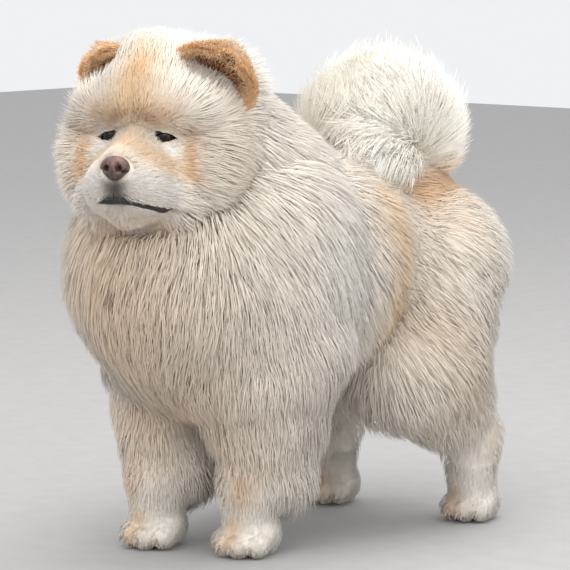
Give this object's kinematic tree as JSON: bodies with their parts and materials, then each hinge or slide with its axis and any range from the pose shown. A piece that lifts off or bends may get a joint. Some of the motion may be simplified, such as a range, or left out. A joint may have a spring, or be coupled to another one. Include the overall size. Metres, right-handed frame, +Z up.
{
  "type": "chow chow dog figure",
  "caption": "Life-size still model of a standing cream chow chow with a full mane, its head turned a little to its left and its plumed tail curled over its back.",
  "frame": {"origin": "on the floor, below the middle of the whole dog's box", "axes": "+Z up, the body faces -Y, its left side is at +X"},
  "size_m": [0.3946, 0.719, 0.6556],
  "materials": {
    "cream_coat": "long dense soft coat, cream with tan shading",
    "white_coat": "soft white hair, fine and straight",
    "tan_coat": "short plush tan hair",
    "nose": "moist brown leather with a fine grain",
    "eye": "wet dark brown"
  },
  "bodies": {
    "root": {"torso": "cream_coat", "neck": "cream_coat", "head": "cream_coat", "nose": "nose", "eye_left": "eye", "ear_left": "tan_coat", "eye_right": "eye", "ear_right": "tan_coat", "tail": "white_coat", "fore_left_leg": "cream_coat", "fore_left_paw": "white_coat", "fore_right_leg": "cream_coat", "fore_right_paw": "white_coat", "hind_left_leg": "cream_coat", "hind_left_paw": "white_coat", "hind_right_leg": "cream_coat", "hind_right_paw": "white_coat"}
  },
  "joints": []
}
